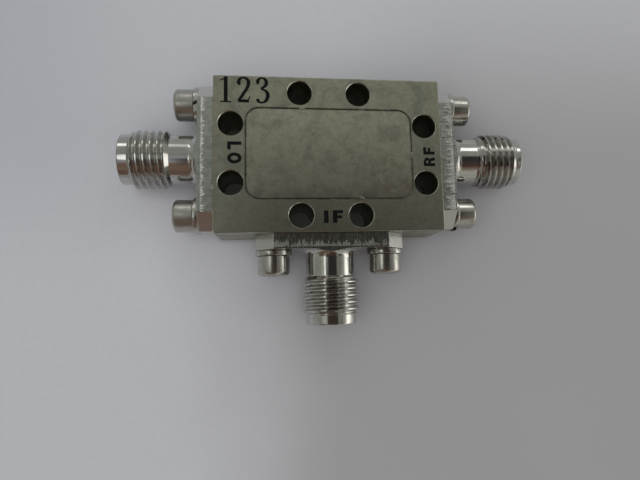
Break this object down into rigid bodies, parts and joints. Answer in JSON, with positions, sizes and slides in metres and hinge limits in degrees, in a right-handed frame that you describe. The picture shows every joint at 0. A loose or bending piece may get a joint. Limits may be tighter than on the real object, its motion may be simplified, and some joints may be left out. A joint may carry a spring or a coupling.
{
  "type": "microwave mixer",
  "caption": "Flat metal housing with a flush cover, through holes and a threaded coaxial jack on each of its side and front faces, joining radio signals of different frequencies.",
  "frame": {"origin": "centre of the housing's bottom face", "axes": "+Z out of the cover, +X out of the RF jack, -X out of the LO jack, -Y out of the IF jack"},
  "size_m": [0.0434, 0.0263, 0.0063],
  "materials": {
    "housing_nickel": "dull plated",
    "cover_nickel": "dull plated",
    "stainless": "passivated",
    "screw_steel": "satin",
    "washer_steel": "satin",
    "seal_ring": "satin",
    "gold_plate": "gold plated",
    "insulator": "matte",
    "seal_glass": "clear",
    "absorber": "matte",
    "alumina": "matte",
    "chip": "glossy",
    "capacitor": "satin"
  },
  "bodies": {
    "root": {"housing": "housing_nickel", "cover": "cover_nickel", "cover_absorber": "absorber", "carrier_plate": "gold_plate", "circuit_board": "alumina", "lo_line": "gold_plate", "rf_line": "gold_plate", "if_line": "gold_plate", "ground_line": "gold_plate", "diode_quad": "chip", "if_capacitor": "capacitor", "lo_shell": "stainless", "lo_insulator": "insulator", "lo_contact": "gold_plate", "lo_seal_ring": "seal_ring", "lo_seal_glass": "seal_glass", "lo_seal_pin": "gold_plate", "rf_shell": "stainless", "rf_insulator": "insulator", "rf_contact": "gold_plate", "rf_seal_ring": "seal_ring", "rf_seal_glass": "seal_glass", "rf_seal_pin": "gold_plate", "if_shell": "stainless", "if_insulator": "insulator", "if_contact": "gold_plate", "if_seal_ring": "seal_ring", "if_seal_glass": "seal_glass", "if_seal_pin": "gold_plate", "lo_screw_front": "screw_steel", "lo_screw_back": "screw_steel", "rf_screw_front": "screw_steel", "rf_screw_back": "screw_steel", "if_screw_left": "screw_steel", "if_screw_right": "screw_steel", "lo_washer_front": "washer_steel", "lo_washer_back": "washer_steel", "rf_washer_front": "washer_steel", "rf_washer_back": "washer_steel", "if_washer_left": "washer_steel", "if_washer_right": "washer_steel"}
  },
  "joints": []
}
